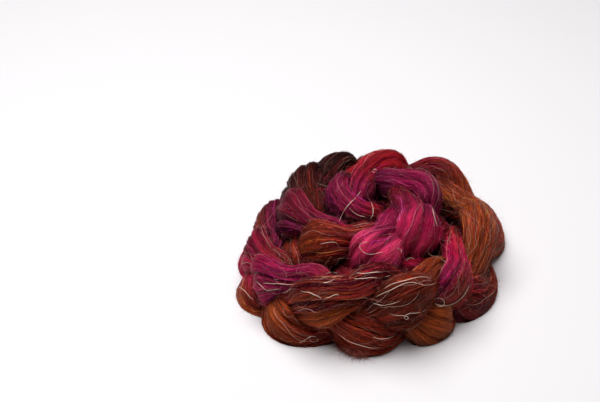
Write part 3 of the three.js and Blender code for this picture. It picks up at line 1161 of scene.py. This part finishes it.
def shade_range(material, value, low, high):
    """A noise value, mostly near its middle, spread over a range."""
    limits = {"From Min": NOISE_RANGE[0], "From Max": NOISE_RANGE[1], "To Min": low, "To Max": high}
    spread = add_node(material, "ShaderNodeMapRange", limits)
    material.node_tree.links.new(value, spread.inputs["Value"])
    return spread.outputs["Result"]


def fibre_material(name, streaks, roughness, sheen, ridges):
    """Colour from the dye attribute, which for strands and fibres holds painted shade as well as dye,
    with streaks of light and dark along the fibres, and a soft silk sheen.
    """
    material, shader = new_material(name, {**SHARED_FINISH, "Sheen Weight": sheen})
    links = material.node_tree.links
    dye = add_node(material, "ShaderNodeAttribute", {}, attribute_name="dye")
    noise = grain_noise(material, *STREAK_GRAIN)
    mix = add_node(material, "ShaderNodeMix", {"Factor": 1.0}, data_type="RGBA", blend_type="MULTIPLY")
    links.new(dye.outputs["Color"], mix.inputs["A"])
    links.new(shade_range(material, noise, *streaks), mix.inputs["B"])
    links.new(mix.outputs["Result"], shader.inputs["Base Color"])
    links.new(shade_range(material, noise, *roughness), shader.inputs["Roughness"])
    if ridges:
        bump = add_node(material, "ShaderNodeBump", {"Distance": ridges})
        links.new(grain_noise(material, *RIDGE_GRAIN), bump.inputs["Height"])
        links.new(bump.outputs["Normal"], shader.inputs["Normal"])
    return material


# Stage

def make_camera():
    """The camera, turned without roll so that the coil's middle falls on its pixel."""
    right = COIL_PIXEL[0] - IMAGE_SIZE[0] / 2
    down = COIL_PIXEL[1] - IMAGE_SIZE[1] / 2
    reach = math.sqrt(right ** 2 + down ** 2 + LENS_PIXELS ** 2)
    yaw = -math.asin(right / (reach * math.cos(VIEW_ELEVATION)))
    fall = math.atan2(math.sin(VIEW_ELEVATION), math.cos(yaw) * math.cos(VIEW_ELEVATION))
    pitch = math.atan2(down, LENS_PIXELS) - fall
    data = bpy.data.cameras.new("camera")
    data.lens = LENS
    data.sensor_width = SENSOR
    camera = add_object("camera", data)
    back = Vector((0, -math.cos(VIEW_ELEVATION), math.sin(VIEW_ELEVATION)))
    camera.location = COIL_MIDDLE + VIEW_DISTANCE * back
    camera.rotation_euler = (math.pi / 2 + pitch, 0, -yaw)
    bpy.context.scene.camera = camera
    return camera


def make_floor():
    mesh = bpy.data.meshes.new("floor")
    half = FLOOR_HALF
    corners = [(-half, -half, 0), (half, -half, 0), (half, half, 0), (-half, half, 0)]
    mesh.from_pydata(corners, [], [(0, 1, 2, 3)])
    finish = {"Base Color": FLOOR_COLOUR, "Roughness": FLOOR_ROUGHNESS}
    mesh.materials.append(new_material("pale_floor", finish)[0])
    floor = add_object("floor", mesh)


def make_light():
    data = bpy.data.lights.new("key", "AREA")
    data.size = LIGHT_SIZE
    data.energy = LIGHT_POWER
    light = add_object("key", data)
    light.location = LIGHT_PLACE
    light.rotation_euler = (LIGHT_AIM - LIGHT_PLACE).to_track_quat("-Z", "Y").to_euler()
    world = bpy.data.worlds.new("studio")
    world.use_nodes = True
    fill(world.node_tree.nodes["Background"], {"Color": ROOM_COLOUR, "Strength": ROOM_STRENGTH})
    bpy.context.scene.world = world
    bpy.context.scene.view_settings.view_transform = "Standard"


# The whole coil
rng = np.random.default_rng(SEED)
camera = make_camera()
make_floor()
make_light()
plait = sample_path()
runs = [strand_run(plait, strand) for strand in range(STRANDS)]
all_runs = [*runs, middle_run(plait)]
for run in all_runs:
    run["locks"] = strand_locks(rng)
strands = [make_strand(run) for run in all_runs]
tree = strand_tree(strands)
for strand, run in zip(strands, all_runs):
    run["openness"] = openness(run, tree)
    shade_hollows(strand, run)
fibres = [make_fibres(run, rng) for run in runs]
wisps = make_wisps(tree, runs, rng)
linen = make_linen(tree, runs, camera, rng)
fuzz = make_fuzz(runs, rng)
fray = make_fray(tree, camera, rng)
finishes = [
    (fibre_material("dyed_strand", **STRAND_FINISH), strands),
    (fibre_material("dyed_fibre", **FIBRE_FINISH), [*fibres, wisps]),
    (fibre_material("linen_hair", **HAIR_FINISH), [linen, fuzz, fray]),
]
for material, pieces in finishes:
    for piece in pieces:
        piece.data.materials.append(material)
        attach(piece, "root")
        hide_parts("sliver_coil")
